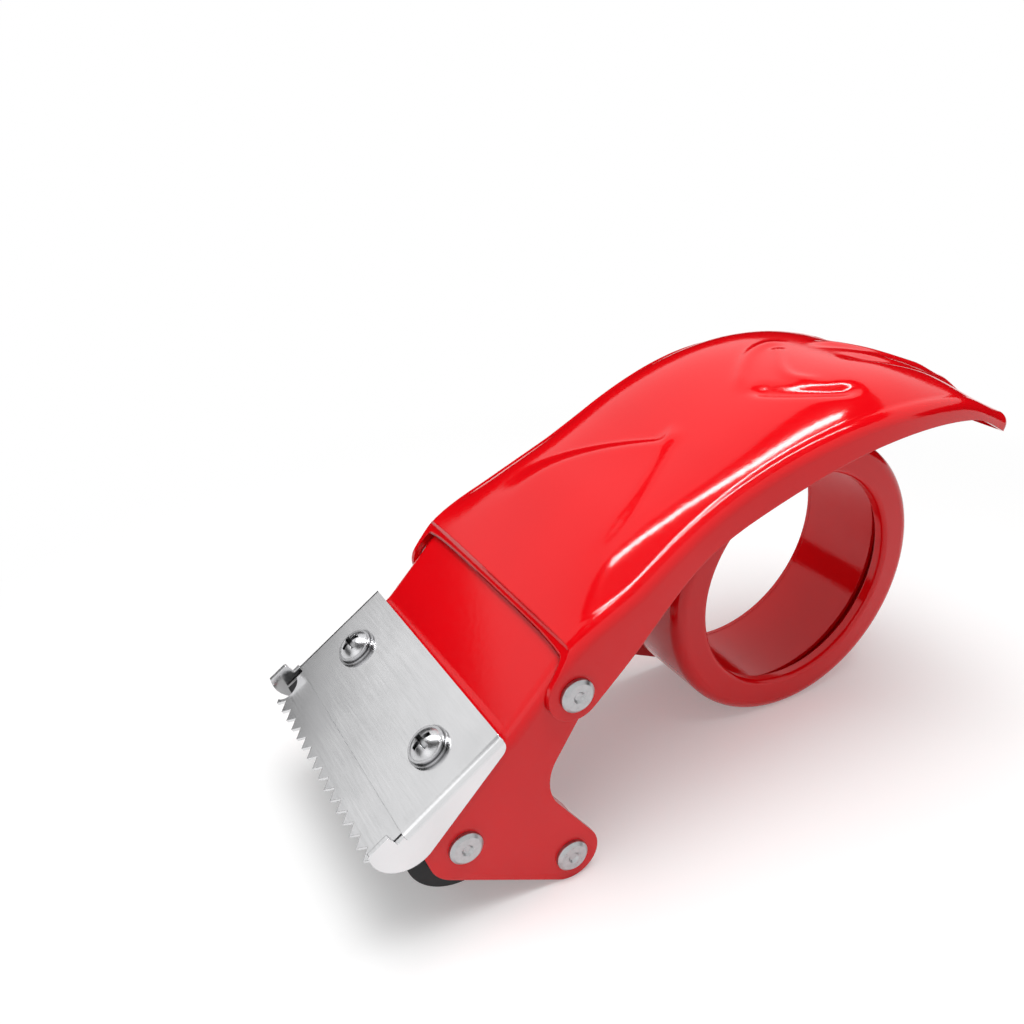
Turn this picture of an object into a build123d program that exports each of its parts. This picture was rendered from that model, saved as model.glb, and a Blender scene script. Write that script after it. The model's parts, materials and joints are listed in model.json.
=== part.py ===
from build123d import *
from math import acos, asin, atan2, ceil, cos, degrees, hypot, pi, radians, sin, sqrt, tan
import os

# Hand-held cutter for 48 mm packing tape on a 76 mm core. Millimetres.
# The origin is on the axis of the tape hub, at the middle of the cutter's width.
# +X points to the handle's tail, -X to the blade, +Z up, and the roll slides off towards -Y.

# Sheet of the frame and the handle
SHEET = 1.2
BEND = 3.0

# Tape hub
HUB_R = 37.5
HUB_WALL = 1.2
HUB_FACE_Y = -6.4
HUB_FACE_W = 8.9
HUB_LIP = 3.2
HUB_EDGE_R = 3.0
LINER_GAP = 3.2
LINER_WALL = 1.2
LINER_START_Y = 1.0
LINER_COLLAR_GAP = 0.3

# Head channel
HEAD_W = 62.0
COVER_CORNER = (-97.3, 5.9)
FACE_SLOPE = 35.5
FACE_LEN = 16.6
WALL_FRONT = 24.6
NECK_SLOPE = 47.0
NECK_START = 0.8
NECK_LEN = 19.0
NECK_BLEND = 8.0
AXLE = (-105.0, -17.9)
AXLE_BOSS_R = 7.8
GUIDE = (-80.9, -31.0)
GUIDE_BOSS_R = 6.5
NOTCH = (-76.0, -10.2)
NOTCH_R = 10.1
LIP_W = 2.5

# Arm from the head to the hub
ARM_TOP = (-80.0, 12.0)
ARM_TOP_R = 5.0
ARM_LOW = (-86.0, -2.0)
ARM_LOW_R = 3.0
ARM_HEEL_TURN = 23.75
ARM_HEEL_PROUD = 1.28
ARM_HEEL_R = 6.0
ARM_HUB_SET = 0.6
ARM_HUB_Y = 24.0
JOG_START = -66.0
JOG_RUN = 12.0

# Handle
HINGE = (-81.5, 10.7)
EAR_R = 6.0
HANDLE_GAP = 0.6
HANDLE_FRONT = (-83.8, 19.9)
HANDLE_TOP = (-2.0, 53.5)
HANDLE_BEND = 4.5
FLAT_CROWN = 0.1
# Sections between its ends: degrees from the top, drawn in at each side, crown in the middle
HANDLE_SECTIONS = [
    (-45.0, 0.0, 0.1),
    (-40.0, 0.0, 0.2),
    (-29.0, 0.2, 0.7),
    (-16.0, 0.4, 1.8),
    (-4.0, 0.4, 2.8),
    (9.0, 1.9, 2.6),
]
HANDLE_BLANK_H = 32.0
BLANK_LEAD = 3.0
TAIL_X = 39.0
TAIL_DRAWN_IN = 4.7
TAIL_CROWN = 0.8
SKIRT_CORNER = (15.3, 6.7)
SKIRT_TOP = (4.8, 47.6)
SKIRT_R = 98.3

# Pins, washers and fits
HINGE_R = 2.0
PIN_R = 2.5
RUN_FIT = 0.05
SEAT_FIT = 0.02
END_PLAY = 0.1
HEAD_R = 3.6
HEAD_H = 1.3
HEAD_RIM_H = 0.7
HEAD_CONE = 0.7
DIMPLE_R = 1.3
DIMPLE_FLOOR_R = 0.8
DIMPLE_H = 0.5
WASHER_R = 4.6
THIN_WASHER = 0.4
SPACER_R = 2.6

# Return spring, wound on the hinge spacer
SPRING_WIRE = 1.2
SPRING_R = 3.6
SPRING_TURNS = 6
SPRING_PITCH = 1.7
SPRING_SEAT_GAP = 0.1
LEG_FRONT = 9.0
LEG_REAR = 18.0
LEAST_COIL_GAP = 0.4

# Front roller
ROLLER_R = 11.6
ROLLER_CORE_R = 8.0
ROLLER_CORE_WALL = 1.0
BUSH_LEN = 8.0
BUSH_FLANGE = 0.8
TYRE_INSET = 0.3

# Rear guide sleeve
GUIDE_SLEEVE_R = 4.5
GUIDE_END_GAP = 0.5

# Cover, blade and flap, stacked on the face of the head
COVER_T = 1.0
BLADE_T = 0.8
FLAP_T = 0.5
COVER_LEN = 25.2
COVER_BEND = 1.8
WING_GAP = 0.2
STRIP_GAP = 0.5
HEEL = (2.6, -1.0)
HEEL_R = 2.5
GUARD = (25.6, -0.9)
GUARD_R = 7.2
GUARD_TOP = 2.6
NOTCH_TOP = -0.3
GUARD_BACK = 26.9
GUARD_CORNER_R = 0.4
BLADE_W = 60.0
BLADE_START = 5.0
BLADE_END = 34.4
BLADE_NICK_S = 30.6
BLADE_NICK_R = 3.2
TEETH = 16
TOOTH_DEPTH = 2.2
FLAP_W = 61.0
FLAP_END = 30.5

# Cover screws, their washers and the clinch nuts in the face
SCREW_S = 11.8
SCREW_Y = 20.0
SCREW_R = 2.0
SCREW_FIT = 0.2
SCREW_HEAD_R = 4.1
SCREW_RIM_H = 0.8
SCREW_DOME_R = 3.6
SCREW_DOME_H = 1.7
SCREW_WASHER_R = 4.6
SCREW_WASHER_T = 0.6
CROSS_W = 1.1
CROSS_SPAN = 4.4
CROSS_DEPTH = 1.5
NUT_NECK_R = 2.7
NUT_COLLAR_R = 3.2
NUT_COLLAR_H = 0.7

STACK = COVER_T + BLADE_T + FLAP_T
HEAD_HALF = HEAD_W / 2
INNER_HALF = HEAD_HALF - SHEET
HANDLE_INNER = HEAD_HALF + HANDLE_GAP
HANDLE_HALF = HANDLE_INNER + SHEET
# The cover's wings clear the head's walls, and the blade and flap between them.
COVER_INNER = max(HEAD_HALF + WING_GAP, max(BLADE_W, FLAP_W) / 2 + STRIP_GAP)
COVER_HALF = COVER_INNER + COVER_T
HUB_MOUTH_R = HUB_R - HUB_FACE_W
LINER_R = HUB_R - HUB_WALL - LINER_GAP - LINER_WALL
# The handle's top runs on one arc through its front edge and its highest point.
RISE = HANDLE_TOP[1] - HANDLE_FRONT[1]
HANDLE_R = ((HANDLE_TOP[0] - HANDLE_FRONT[0]) ** 2 + RISE**2) / (2 * RISE)
HANDLE_CENTRE = (HANDLE_TOP[0], HANDLE_TOP[1] - HANDLE_R)

DOWN = (-cos(radians(FACE_SLOPE)), -sin(radians(FACE_SLOPE)))
OUT = (DOWN[1], -DOWN[0])
NECK = (cos(radians(NECK_SLOPE)), sin(radians(NECK_SLOPE)))
NECK_OUT = (-NECK[1], NECK[0])


def on_face(s, n):
    """Point (x, z) at s down the cover's slope and n above the cover's top."""
    x, z = COVER_CORNER
    return (x + s * DOWN[0] + n * OUT[0], z + s * DOWN[1] + n * OUT[1])


def layer(n):
    """Plane parallel to the cover at height n above its top, with s as its x axis."""
    x, z = on_face(0, n)
    return Plane(origin=(x, 0, z), x_dir=(DOWN[0], 0, DOWN[1]), z_dir=(OUT[0], 0, OUT[1]))


def wing_plane(y):
    """Upright plane at y with s and n as its axes, facing +Y."""
    x, z = COVER_CORNER
    return Plane(origin=(x, y, z), x_dir=(DOWN[0], 0, DOWN[1]), z_dir=(0, 1, 0))


def at_y(y):
    """Upright plane at y with x and z as its axes, facing -Y."""
    return Plane.XZ.offset(-y)


def belt(stops):
    """Closed line run anticlockwise round circles (x, y, r): outside r > 0, inside r < 0, corner at 0."""
    angles = []
    for (x1, y1, r1), (x2, y2, r2) in zip(stops, stops[1:] + stops[:1]):
        run_x, run_y = x2 - x1, y2 - y1
        angles.append(atan2(run_y, run_x) - acos((r1 - r2) / hypot(run_x, run_y)))
    for i, (x, y, r) in enumerate(stops):
        next_x, next_y, next_r = stops[(i + 1) % len(stops)]
        arrive, depart = angles[i - 1], angles[i]
        leave = (x + r * cos(depart), y + r * sin(depart))
        Line(leave, (next_x + next_r * cos(depart), next_y + next_r * sin(depart)))
        if r:
            turn = (depart - arrive) % (2 * pi) if r > 0 else -((arrive - depart) % (2 * pi))
            half = arrive + turn / 2
            start = (x + r * cos(arrive), y + r * sin(arrive))
            ThreePointArc(start, (x + r * cos(half), y + r * sin(half)), leave)


def long_edges(faces):
    """Edges along both sides of the faces that look out of the head's top."""
    sky = Vector(OUT[0], 0, OUT[1])
    top_faces = [face for face in faces if face.normal_at().dot(sky) > 0.9]
    edges = [edge for face in top_faces for edge in face.edges()]
    return [edge for edge in edges if edge.bounding_box().size.Y < SHEET]


def turned(centre, outlines):
    """Solids of revolution about the line along Y through centre, from (y, r) corners."""
    profile_plane = Plane(origin=(centre[0], 0, centre[1]), x_dir=(0, 1, 0), z_dir=(1, 0, 0))
    with BuildPart() as piece:
        for outline in outlines:
            with BuildSketch(profile_plane):
                with BuildLine():
                    Polyline(*outline, close=True)
                make_face()
            revolve(axis=Axis((centre[0], 0, centre[1]), (0, 1, 0)))
    return piece


def ring(y1, y2, inner_r, outer_r):
    """(y, r) corners of a plain ring."""
    return [(y1, inner_r), (y2, inner_r), (y2, outer_r), (y1, outer_r)]


def ring_pair(y1, y2, inner_r, outer_r):
    """Two rings, one on each side of the cutter's middle."""
    return [ring(y1, y2, inner_r, outer_r), ring(-y2, -y1, inner_r, outer_r)]


def rivet(shank_r, reach):
    """(y, r) corners of a pin whose coned and dimpled heads begin at reach on both sides."""
    tip = reach + HEAD_H
    half = [
        (reach, shank_r),
        (reach, HEAD_R),
        (reach + HEAD_RIM_H, HEAD_R),
        (tip, HEAD_R - HEAD_CONE),
        (tip, DIMPLE_R),
        (tip - DIMPLE_H, DIMPLE_FLOOR_R),
        (tip - DIMPLE_H, 0),
    ]
    return half + [(-y, r) for y, r in reversed(half)]


BEND_LINE = on_face(-NECK_START, -STACK)
WALL_CORNER = on_face(WALL_FRONT, -STACK)
NECK_END = (BEND_LINE[0] + NECK_LEN * NECK[0], BEND_LINE[1] + NECK_LEN * NECK[1])
HALF_TURN = radians(NECK_SLOPE - FACE_SLOPE) / 2
VALLEY_NORMAL = radians(NECK_SLOPE + FACE_SLOPE) / 2 + pi / 2


def valley(depth):
    """Belt stop for the blend between face and neck, depth below their outer surface."""
    reach = NECK_BLEND / cos(HALF_TURN)
    centre_x = BEND_LINE[0] + reach * cos(VALLEY_NORMAL)
    centre_z = BEND_LINE[1] + reach * sin(VALLEY_NORMAL)
    return (centre_x, centre_z, -(NECK_BLEND + depth))


# Side wall's outline, from the front end of the face round the bosses to the top of the neck
WALL = [
    (*WALL_CORNER, 0),
    (*AXLE, AXLE_BOSS_R),
    (*GUIDE, GUIDE_BOSS_R),
    (*NOTCH, -NOTCH_R),
    (*HINGE, EAR_R - HANDLE_GAP),
    (*NECK_END, 0),
    valley(0),
]

# Space inside the head's channel, open below and at both ends
OVERRUN = HEAD_W
with BuildPart() as channel_space:
    ahead = on_face(WALL_FRONT + OVERRUN, -STACK - SHEET)
    behind = (
        NECK_END[0] + OVERRUN * NECK[0] - SHEET * NECK_OUT[0],
        NECK_END[1] + OVERRUN * NECK[1] - SHEET * NECK_OUT[1],
    )
    floor = ahead[1] - OVERRUN
    with BuildSketch(at_y(INNER_HALF)):
        with BuildLine():
            belt([(*ahead, 0), (ahead[0], floor, 0), (behind[0], floor, 0), (*behind, 0), valley(SHEET)])
        make_face()
    extrude(amount=2 * INNER_HALF)
    roof = long_edges(channel_space.faces())
    fillet(roof, BEND - SHEET)

# Arm in line with the head's far wall, jogged inwards to carry the hub
HEEL_REACH = HUB_R + ARM_HEEL_PROUD - ARM_HEEL_R
ARM_STOPS = [
    (0, 0, HUB_R - ARM_HUB_SET),
    (*ARM_TOP, ARM_TOP_R),
    (*ARM_LOW, ARM_LOW_R),
    (
        -HEEL_REACH * sin(radians(ARM_HEEL_TURN)),
        -HEEL_REACH * cos(radians(ARM_HEEL_TURN)),
        ARM_HEEL_R,
    ),
]
with BuildPart() as arm:
    jog = HEAD_HALF - SHEET - ARM_HUB_Y
    bend_set = SHEET * tan(atan2(jog, JOG_RUN) / 2)
    front = AXLE[0]
    rear = HUB_R + SHEET
    with BuildSketch(Plane.XY.offset(-HUB_R - SHEET)):
        with BuildLine():
            Polyline(
                (front, HEAD_HALF),
                (JOG_START, HEAD_HALF),
                (JOG_START + JOG_RUN, ARM_HUB_Y + SHEET),
                (rear, ARM_HUB_Y + SHEET),
                (rear, ARM_HUB_Y),
                (JOG_START + JOG_RUN - bend_set, ARM_HUB_Y),
                (JOG_START - bend_set, INNER_HALF),
                (front, INNER_HALF),
                close=True,
            )
        make_face()
    extrude(amount=2 * (HUB_R + SHEET))
    with BuildSketch(at_y(HEAD_W)):
        with BuildLine():
            belt(ARM_STOPS)
        make_face()
        Circle(LINER_R, mode=Mode.SUBTRACT)
    extrude(amount=HEAD_W, mode=Mode.INTERSECT)

with BuildPart() as main_frame:
    with BuildSketch(at_y(HEAD_HALF)):
        with BuildLine():
            belt(WALL)
        make_face()
    extrude(amount=HEAD_W)
    top_edges = long_edges(main_frame.faces())
    fillet(top_edges, BEND)
    add(channel_space.part, mode=Mode.SUBTRACT)
    # The near wall's hollow rear edge is turned inwards.
    with BuildSketch(at_y(-INNER_HALF + LIP_W)):
        with BuildLine():
            belt(WALL)
        make_face()
        with Locations(NOTCH):
            Circle(NOTCH_R + SHEET, mode=Mode.INTERSECT)
    extrude(amount=LIP_W)
    add(arm.part)
    for centre, radius in ((HINGE, HINGE_R), (AXLE, PIN_R), (GUIDE, PIN_R)):
        with BuildSketch(at_y(HEAD_W)):
            with Locations(centre):
                Circle(radius + SEAT_FIT)
        extrude(amount=2 * HEAD_W, mode=Mode.SUBTRACT)
    # The face stops short of the roller, between walls that run on.
    with BuildSketch(layer(-STACK)):
        with Locations((SCREW_S, SCREW_Y), (SCREW_S, -SCREW_Y)):
            Circle(NUT_NECK_R + SEAT_FIT)
        with Locations((FACE_LEN, 0)):
            Rectangle(WALL_FRONT, 2 * INNER_HALF, align=(Align.MIN, Align.CENTER))
    extrude(amount=-2 * SHEET, mode=Mode.SUBTRACT)
main_frame.part.label = "main_frame"

with BuildPart() as hub_drum:
    with BuildSketch(Plane(origin=(0, 0, 0), x_dir=(0, 1, 0), z_dir=(1, 0, 0))) as drum_profile:
        with BuildLine():
            Polyline(
                (ARM_HUB_Y, HUB_R - HUB_WALL),
                (ARM_HUB_Y, HUB_R),
                (HUB_FACE_Y, HUB_R),
                (HUB_FACE_Y, HUB_MOUTH_R),
                (HUB_FACE_Y + HUB_LIP, HUB_MOUTH_R),
                (HUB_FACE_Y + HUB_LIP, HUB_MOUTH_R + HUB_WALL),
                (HUB_FACE_Y + HUB_WALL, HUB_MOUTH_R + HUB_WALL),
                (HUB_FACE_Y + HUB_WALL, HUB_R - HUB_WALL),
                close=True,
            )
        make_face()
        for corner, radius in (
            ((HUB_FACE_Y, HUB_R), HUB_EDGE_R),
            ((HUB_FACE_Y + HUB_WALL, HUB_R - HUB_WALL), HUB_EDGE_R - HUB_WALL),
            ((HUB_FACE_Y, HUB_MOUTH_R), HUB_WALL),
        ):
            fillet(drum_profile.vertices().sort_by_distance(corner)[0], radius)
    revolve(axis=Axis.Y)
hub_drum.part.label = "hub_drum"

COLLAR_R = HUB_R - HUB_WALL - LINER_COLLAR_GAP
hub_liner = turned(
    (0, 0),
    [
        [
            (LINER_START_Y, LINER_R),
            (ARM_HUB_Y, LINER_R),
            (ARM_HUB_Y, COLLAR_R),
            (ARM_HUB_Y - LINER_WALL, COLLAR_R),
            (ARM_HUB_Y - LINER_WALL, LINER_R + LINER_WALL),
            (LINER_START_Y, LINER_R + LINER_WALL),
        ]
    ],
)
hub_liner.part.label = "hub_liner"

SKIRT_CENTRE = (SKIRT_TOP[0], SKIRT_TOP[1] - SKIRT_R)
TAIL_TURN = degrees(asin((TAIL_X - HANDLE_CENTRE[0]) / HANDLE_R))
FRONT_TURN = degrees(asin((HINGE[0] - 2 * EAR_R - HANDLE_CENTRE[0]) / HANDLE_R))


def handle_stations(inset):
    """(turn from the top, drawn in, crown) of each section of a blank inset from the outer surface.

    An inset blank ends short of the outer one and begins BLANK_LEAD insets ahead of it.
    """
    end_turn = TAIL_TURN - degrees(inset / HANDLE_R)
    start_turn = FRONT_TURN - degrees(BLANK_LEAD * inset / HANDLE_R)
    return [
        (start_turn, 0, FLAT_CROWN),
        *HANDLE_SECTIONS,
        (end_turn, TAIL_DRAWN_IN, TAIL_CROWN),
    ]


def handle_blank(inset):
    """Solid under the handle's arched top, inset from its outer surface on every side."""
    x, z = HANDLE_CENTRE
    top = HANDLE_R - inset
    base = HANDLE_R - HANDLE_BLANK_H - inset
    with BuildPart() as blank:
        for turn, drawn_in, crown in handle_stations(inset):
            half_w = HANDLE_HALF - drawn_in - inset
            along = (cos(radians(turn)), 0, -sin(radians(turn)))
            with BuildSketch(Plane(origin=(x, 0, z), x_dir=(0, 1, 0), z_dir=along)) as section:
                with BuildLine():
                    Polyline((-half_w, top), (-half_w, base), (half_w, base), (half_w, top))
                    ThreePointArc((half_w, top), (0, top + crown), (-half_w, top))
                make_face()
                fillet(section.vertices().group_by(Axis.Y)[-1], HANDLE_BEND - inset)
        loft()
    return blank


with BuildPart() as handle_shell:
    add(handle_blank(0).part)
    add(handle_blank(SHEET).part, mode=Mode.SUBTRACT)
    with BuildSketch(at_y(HANDLE_HALF)) as side_view:
        beyond = TAIL_X + SKIRT_R / 4
        with BuildLine():
            belt(
                [
                    (HANDLE_FRONT[0], HANDLE_TOP[1] + HANDLE_BEND, 0),
                    (*HANDLE_FRONT, 0),
                    (*HINGE, EAR_R),
                    (HINGE[0] + SKIRT_CORNER[0], HINGE[1] + SKIRT_CORNER[1], 0),
                    (beyond, SKIRT_CENTRE[1] + SKIRT_R / 2, 0),
                    (beyond, HANDLE_TOP[1] + HANDLE_BEND, 0),
                ]
            )
        make_face()
        with Locations(SKIRT_CENTRE):
            Circle(SKIRT_R, mode=Mode.SUBTRACT)
        with Locations(HINGE):
            Circle(HINGE_R + RUN_FIT, mode=Mode.SUBTRACT)
    extrude(amount=2 * HANDLE_HALF, mode=Mode.INTERSECT)
handle_shell.part.label = "handle_shell"

# Hinge: a riveted pin through both walls and both ears, a spacer tube and two thin washers
hinge_pin = turned(HINGE, [rivet(HINGE_R, HANDLE_HALF + END_PLAY)])
hinge_pin.part.label = "hinge_pin"
hinge_spacer = turned(HINGE, [ring(-INNER_HALF, INNER_HALF, HINGE_R + SEAT_FIT, SPACER_R)])
hinge_spacer.part.label = "hinge_spacer"
hinge_washers = turned(
    HINGE, ring_pair(HEAD_HALF, HEAD_HALF + THIN_WASHER, HINGE_R + RUN_FIT, WASHER_R)
)
hinge_washers.part.label = "hinge_washers"

# Front roller: rubber tyre bonded to a tube with a flanged bush in each end, on a riveted axle
ROLLER_END = INNER_HALF - THIN_WASHER - END_PLAY
CORE_END = ROLLER_END - BUSH_FLANGE
CORE_BORE = ROLLER_CORE_R - ROLLER_CORE_WALL
roller_core = turned(AXLE, [ring(-CORE_END, CORE_END, CORE_BORE, ROLLER_CORE_R)])
roller_core.part.label = "roller_core"
TYRE_END = CORE_END - TYRE_INSET
roller_tyre = turned(AXLE, [ring(-TYRE_END, TYRE_END, ROLLER_CORE_R, ROLLER_R)])
roller_tyre.part.label = "roller_tyre"
bush = [
    (CORE_END - BUSH_LEN, PIN_R + RUN_FIT),
    (ROLLER_END, PIN_R + RUN_FIT),
    (ROLLER_END, ROLLER_CORE_R),
    (CORE_END, ROLLER_CORE_R),
    (CORE_END, CORE_BORE),
    (CORE_END - BUSH_LEN, CORE_BORE),
]
roller_bushes = turned(AXLE, [bush, [(-y, r) for y, r in bush]])
roller_bushes.part.label = "roller_bushes"
roller_axle = turned(AXLE, [rivet(PIN_R, HEAD_HALF)])
roller_axle.part.label = "roller_axle"
roller_washers = turned(
    AXLE, ring_pair(INNER_HALF - THIN_WASHER, INNER_HALF, PIN_R + RUN_FIT, WASHER_R)
)
roller_washers.part.label = "roller_washers"

# Rear guide: a plain sleeve that turns on its riveted pin
guide_pin = turned(GUIDE, [rivet(PIN_R, HEAD_HALF)])
guide_pin.part.label = "guide_pin"
GUIDE_END = INNER_HALF - GUIDE_END_GAP
guide_sleeve = turned(GUIDE, [ring(-GUIDE_END, GUIDE_END, PIN_R + RUN_FIT, GUIDE_SLEEVE_R)])
guide_sleeve.part.label = "guide_sleeve"

# Cover: a folded channel whose wings run forward as guards beside the blade
with BuildPart() as cover_space:
    with BuildSketch(layer(-COVER_T)):
        with Locations((COVER_LEN / 2, 0)):
            Rectangle(COVER_LEN + 2 * GUARD_R, 2 * COVER_INNER)
    extrude(amount=-2 * GUARD_R)
    fillet(long_edges(cover_space.faces()), COVER_BEND - COVER_T)

with BuildPart() as cover_plate:
    with BuildSketch(wing_plane(-COVER_HALF)):
        with BuildLine():
            belt([(*HEEL, HEEL_R), (*GUARD, GUARD_R)])
        make_face()
        with Locations((COVER_LEN, 0)):
            Rectangle(2 * COVER_LEN, 2 * GUARD_R, align=(Align.MAX, Align.MAX), mode=Mode.INTERSECT)
        with Locations((0, 0)):
            Rectangle(HEEL[0], COVER_T, align=(Align.MIN, Align.MAX))
    extrude(amount=2 * COVER_HALF)
    fillet(long_edges(cover_plate.faces()), COVER_BEND)
    for side in (-1, 1):
        with BuildSketch(wing_plane(side * COVER_INNER)):
            with BuildLine():
                belt([(*HEEL, HEEL_R), (*GUARD, GUARD_R)])
            make_face()
            with Locations((GUARD[0], GUARD_TOP)):
                Rectangle(4 * GUARD_R, GUARD_R, align=(Align.CENTER, Align.MIN), mode=Mode.SUBTRACT)
            for reach, top in ((GUARD_BACK, NOTCH_TOP), (COVER_LEN, -COVER_BEND)):
                with Locations((reach, top)):
                    Rectangle(
                        2 * COVER_LEN, 2 * GUARD_R, align=(Align.MAX, Align.MIN), mode=Mode.SUBTRACT
                    )
        extrude(amount=side * COVER_T)
    add(cover_space.part, mode=Mode.SUBTRACT)
    guard_corners = [
        edge
        for edge in cover_plate.edges().filter_by(Axis.Y)
        if (edge.center().X - COVER_CORNER[0]) * OUT[0] + (edge.center().Z - COVER_CORNER[1]) * OUT[1]
        > GUARD_TOP / 2
    ]
    fillet(guard_corners, GUARD_CORNER_R)
    with BuildSketch(layer(COVER_T)):
        with Locations((SCREW_S, SCREW_Y), (SCREW_S, -SCREW_Y)):
            Circle(SCREW_R + SCREW_FIT)
    extrude(amount=-4 * COVER_T, mode=Mode.SUBTRACT)
cover_plate.part.label = "cover_plate"

# Blade: a toothed strip clamped under the cover, its far front corner nicked
TOOTH_ROOT = BLADE_END - TOOTH_DEPTH
TOOTH_PITCH = BLADE_W / TEETH
BLADE_HALF = BLADE_W / 2
with BuildPart() as blade:
    with BuildSketch(layer(-COVER_T)):
        with BuildLine():
            teeth = []
            for i in range(TEETH):
                teeth.append((TOOTH_ROOT, BLADE_HALF - i * TOOTH_PITCH))
                teeth.append((BLADE_END, BLADE_HALF - (i + 0.5) * TOOTH_PITCH))
            Polyline(
                (BLADE_START, BLADE_HALF),
                *teeth,
                (TOOTH_ROOT, -BLADE_HALF),
                (BLADE_START, -BLADE_HALF),
                close=True,
            )
        make_face()
        with Locations((BLADE_NICK_S, -BLADE_HALF)):
            Circle(BLADE_NICK_R, mode=Mode.SUBTRACT)
        with Locations((SCREW_S, SCREW_Y), (SCREW_S, -SCREW_Y)):
            Circle(SCREW_R + SCREW_FIT, mode=Mode.SUBTRACT)
    extrude(amount=-BLADE_T)
blade.part.label = "blade"

# Flap: a thin plastic strip under the blade that wipes the tape on to the roller
with BuildPart() as wiper_flap:
    with BuildSketch(layer(-COVER_T - BLADE_T)):
        with Locations(((BLADE_START + FLAP_END) / 2, 0)):
            Rectangle(FLAP_END - BLADE_START, FLAP_W)
        with Locations((SCREW_S, SCREW_Y), (SCREW_S, -SCREW_Y)):
            Circle(SCREW_R + SCREW_FIT, mode=Mode.SUBTRACT)
    extrude(amount=-FLAP_T)
wiper_flap.part.label = "wiper_flap"

with BuildPart() as cover_washers:
    with BuildSketch(layer(0)):
        with Locations((SCREW_S, SCREW_Y), (SCREW_S, -SCREW_Y)):
            Circle(SCREW_WASHER_R)
            Circle(SCREW_R + SCREW_FIT, mode=Mode.SUBTRACT)
    extrude(amount=SCREW_WASHER_T)
cover_washers.part.label = "cover_washers"

# Clinch nuts: a neck pressed through the face and a collar under it
NUT_BASE = -STACK - SHEET - NUT_COLLAR_H
with BuildPart() as cover_nuts:
    for depth, radius in ((-STACK, NUT_NECK_R), (-STACK - SHEET, NUT_COLLAR_R)):
        with BuildSketch(layer(depth)):
            with Locations((SCREW_S, SCREW_Y), (SCREW_S, -SCREW_Y)):
                Circle(radius)
                Circle(SCREW_R + SEAT_FIT, mode=Mode.SUBTRACT)
        extrude(amount=NUT_BASE - depth)
cover_nuts.part.label = "cover_nuts"

# Cover screws: shank, stepped rim, dome and a cross recess
RIM_TOP = SCREW_WASHER_T + SCREW_RIM_H
DOME_TOP = RIM_TOP + SCREW_DOME_H
DOME_BALL_R = (SCREW_DOME_R**2 + SCREW_DOME_H**2) / (2 * SCREW_DOME_H)
with BuildPart() as cover_screws:
    for y in (SCREW_Y, -SCREW_Y):
        x, z = on_face(SCREW_S, 0)
        profile_plane = Plane(origin=(x, y, z), x_dir=(DOWN[0], 0, DOWN[1]), z_dir=(0, 1, 0))
        with BuildSketch(profile_plane):
            with BuildLine():
                Polyline(
                    (0, DOME_TOP),
                    (0, NUT_BASE),
                    (SCREW_R, NUT_BASE),
                    (SCREW_R, SCREW_WASHER_T),
                    (SCREW_HEAD_R, SCREW_WASHER_T),
                    (SCREW_HEAD_R, RIM_TOP),
                    (SCREW_DOME_R, RIM_TOP),
                )
                RadiusArc((SCREW_DOME_R, RIM_TOP), (0, DOME_TOP), -DOME_BALL_R)
            make_face()
        revolve(axis=Axis((x, y, z), (OUT[0], 0, OUT[1])))
    with BuildSketch(layer(DOME_TOP)):
        with Locations((SCREW_S, SCREW_Y), (SCREW_S, -SCREW_Y)):
            Rectangle(CROSS_SPAN, CROSS_W)
            Rectangle(CROSS_W, CROSS_SPAN)
    extrude(amount=-CROSS_DEPTH, mode=Mode.SUBTRACT)
cover_screws.part.label = "cover_screws"


def meeting(centre_1, radius_1, centre_2, radius_2):
    """Rear crossing point of two circles in the plane of x and z."""
    gap_x, gap_z = centre_2[0] - centre_1[0], centre_2[1] - centre_1[1]
    gap = hypot(gap_x, gap_z)
    along = (radius_1**2 - radius_2**2 + gap**2) / (2 * gap)
    across = sqrt(radius_1**2 - along**2)
    unit_x, unit_z = gap_x / gap, gap_z / gap
    crossings = [
        (
            centre_1[0] + along * unit_x - turn * across * unit_z,
            centre_1[1] + along * unit_z + turn * across * unit_x,
        )
        for turn in (-1, 1)
    ]
    return max(crossings)


# The spring's rear leg ends under the handle's top, and its front leg under the neck.
REAR_REACH = hypot(SPRING_R, LEG_REAR)
FRONT_REACH = hypot(SPRING_R, LEG_FRONT)
REST_R = HANDLE_R - SHEET - SPRING_WIRE / 2 - SPRING_SEAT_GAP
rear_tip = meeting(HINGE, REAR_REACH, HANDLE_CENTRE, REST_R)
rear_angle = atan2(rear_tip[1] - HINGE[1], rear_tip[0] - HINGE[0]) + acos(SPRING_R / REAR_REACH)
neck_depth = (HINGE[0] - BEND_LINE[0]) * NECK_OUT[0] + (HINGE[1] - BEND_LINE[1]) * NECK_OUT[1]
neck_reach = -neck_depth - SHEET - SPRING_WIRE / 2 - SPRING_SEAT_GAP
tip_angle = atan2(NECK_OUT[1], NECK_OUT[0]) + acos(neck_reach / FRONT_REACH)
front_angle = tip_angle - acos(SPRING_R / FRONT_REACH) + 2 * pi * SPRING_TURNS
COIL_START = -SPRING_TURNS * SPRING_PITCH / 2
QUARTERS = round((front_angle - rear_angle) / (pi / 2))
STEP = (front_angle - rear_angle) / QUARTERS


def coil_point(angle):
    """Point on the spring's centre line, which climbs along Y as the angle grows."""
    y = COIL_START + SPRING_PITCH * (angle - rear_angle) / (2 * pi)
    return Vector(HINGE[0] + SPRING_R * cos(angle), y, HINGE[1] + SPRING_R * sin(angle))


def coil_tangent(angle):
    """Direction of the centre line, square to Y where a straight leg joins."""
    ends = (rear_angle, front_angle)
    climb = 0 if min(abs(angle - end) for end in ends) < STEP / 2 else SPRING_PITCH / (2 * pi)
    return Vector(-SPRING_R * sin(angle), climb, SPRING_R * cos(angle)).normalized()


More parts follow.
